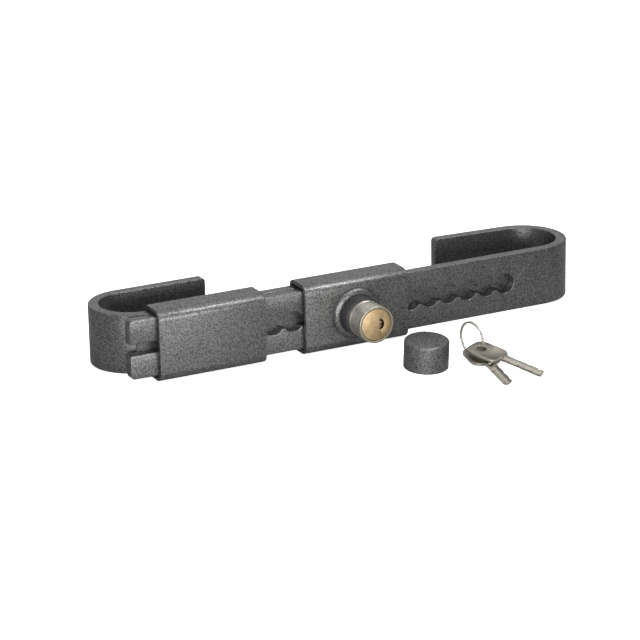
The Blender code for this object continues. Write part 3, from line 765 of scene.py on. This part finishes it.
left_hook()
right_hook()
sleeve("left_sleeve", LEFT_SLEEVE_X, False)
sleeve("lock_sleeve", LOCK_SLEEVE_X, True)
for sleeve_name, span in (("left_sleeve", LEFT_SLEEVE_X), ("lock_sleeve", LOCK_SLEEVE_X)):
    for side_name, way in (("left", -1), ("right", 1)):
        weld_x = (span[0] + span[1]) / 2 + way * PLUG_WELD_PITCH / 2
        plug_weld(f"{sleeve_name}_weld_{side_name}", weld_x, 1 + weld_x / 100)
lock_collar()
collar_weld_ring()
cylinder_shell()
key_plug()
bolt_spring()
dust_cap()
split_ring()
key("key_lower", "key_lower_swing")
key("key_upper", "key_upper_swing")


# Studio

FLOOR_GLOW = 0.80
FLOOR_SEEN = 1.2
FLOOR_BOUNCE = 0.40
WORLD_LOW = 0.20
WORLD_HIGH = 0.15
LIGHTS = (                                  # name, place, target, size, power
    ("ceiling", (0.0, 0.4, 2.6), (0.0, 0.4, 0.0), (5.0, 4.5), 62.0),
    ("overhead", (0.55, -0.67, 1.48), (-0.1, 0.0, 0.03), (0.25, 0.25), 11.0),
    ("low_front_left", (-0.5, -0.8, 0.18), (0.0, 0.0, 0.03), (0.5, 0.34), 5.8),
    ("low_front", (-0.05, -0.42, 0.12), (-0.20, 0.0, 0.03), (0.24, 0.18), 0.78),
    ("back_wall", (0.5, 2.6, 1.1), (0.0, 0.0, 0.0), (3.4, 1.6), 11.5),
    ("left_panel", (-1.0, 0.0, 0.45), (0.0, 0.0, 0.03), (0.5, 0.5), 0.8),
)


def area_light(name, place, target, size, power):
    data = bpy.data.lights.new(name, "AREA")
    data.shape = "RECTANGLE"
    data.size, data.size_y = size
    data.energy = power
    lamp = link(bpy.data.objects.new(name, data))
    lamp.location = place
    lamp.rotation_mode = "QUATERNION"
    lamp.rotation_quaternion = (Vector(target) - Vector(place)).to_track_quat("-Z", "Y")
    lamp.visible_camera = False


def surroundings():
    """A dim room: its brightness changes from the horizon to overhead."""
    world = bpy.data.worlds.new("studio")
    bpy.context.scene.world = world
    world.use_nodes = True
    tree = world.node_tree
    coords = tree.nodes.new("ShaderNodeTexCoord")
    split = tree.nodes.new("ShaderNodeSeparateXYZ")
    ramp = tree.nodes.new("ShaderNodeValToRGB")
    ramp.color_ramp.elements[0].position = 0.15
    ramp.color_ramp.elements[0].color = (*grey(WORLD_LOW), 1.0)
    ramp.color_ramp.elements[1].position = 0.75
    ramp.color_ramp.elements[1].color = (*grey(WORLD_HIGH), 1.0)
    tree.links.new(coords.outputs["Generated"], split.inputs[0])
    tree.links.new(split.outputs["Z"], ramp.inputs["Fac"])
    tree.links.new(ramp.outputs["Color"], tree.nodes["Background"].inputs["Color"])


def white_floor():
    """White paper: it is seen overexposed, with a faint shadow, and throws less light back on the object."""
    n = Nodes("white_floor")
    glow = n.add("Emission", {"Color": (1.0, 1.0, 1.0, 1.0), "Strength": FLOOR_GLOW})
    paper = n.add("BsdfDiffuse", {"Color": (*grey(FLOOR_SEEN), 1.0)})
    seen = n.add("AddShader", {0: glow.outputs[0], 1: paper.outputs[0]})
    bounce = n.add("BsdfDiffuse", {"Color": (*grey(FLOOR_BOUNCE), 1.0)})
    camera_ray = n.add("LightPath").outputs["Is Camera Ray"]
    both = n.add("MixShader", {0: camera_ray, 1: bounce.outputs[0], 2: seen.outputs[0]})
    n.tree.links.new(both.outputs[0], n.tree.nodes["Material Output"].inputs["Surface"])
    return n.mat


def studio():
    bpy.ops.mesh.primitive_plane_add(size=9.0, location=(0.0, 0.0, 0.0))
    floor = bpy.context.object
    floor.name = "floor"
    floor.data.materials.append(white_floor())
    surroundings()
    for row in LIGHTS:
        area_light(*row)


def camera():
    """Camera at the picture's angle: a long lens, a little over the object and to its left."""
    azimuth = math.radians(-27.476)
    elevation = math.radians(22.49)
    roll = math.radians(0.97)
    distance = 2.2682
    target = Vector((-0.0359, 0.02078, 0.0287))
    back = Vector((math.sin(azimuth) * math.cos(elevation), -math.cos(azimuth) * math.cos(elevation),
                   math.sin(elevation)))
    data = bpy.data.cameras.new("camera")
    data.sensor_width = 36.0
    data.lens = 154.318
    item = link(bpy.data.objects.new("camera", data))
    item.rotation_mode = "QUATERNION"
    tilt = Matrix.Rotation(roll, 3, "Z").to_quaternion()
    item.rotation_quaternion = (-back).to_track_quat("-Z", "Y") @ tilt
    item.location = target + back * distance
    bpy.context.scene.camera = item


studio()
camera()
bpy.context.scene.view_settings.view_transform = "Standard"

SLOT_LOOKS = {"paint": PAINT, "black_oxide": DARK, "chrome": CHROME, "brass": BRASS, "zinc_steel": STEEL,
              "nickel": NICKEL}
for row in frame["record"]["subparts"]:
    mesh = frame["nodes"][row["node"]].data
    mesh.materials.clear()
    mesh.materials.append(SLOT_LOOKS[row["material_slot"]])
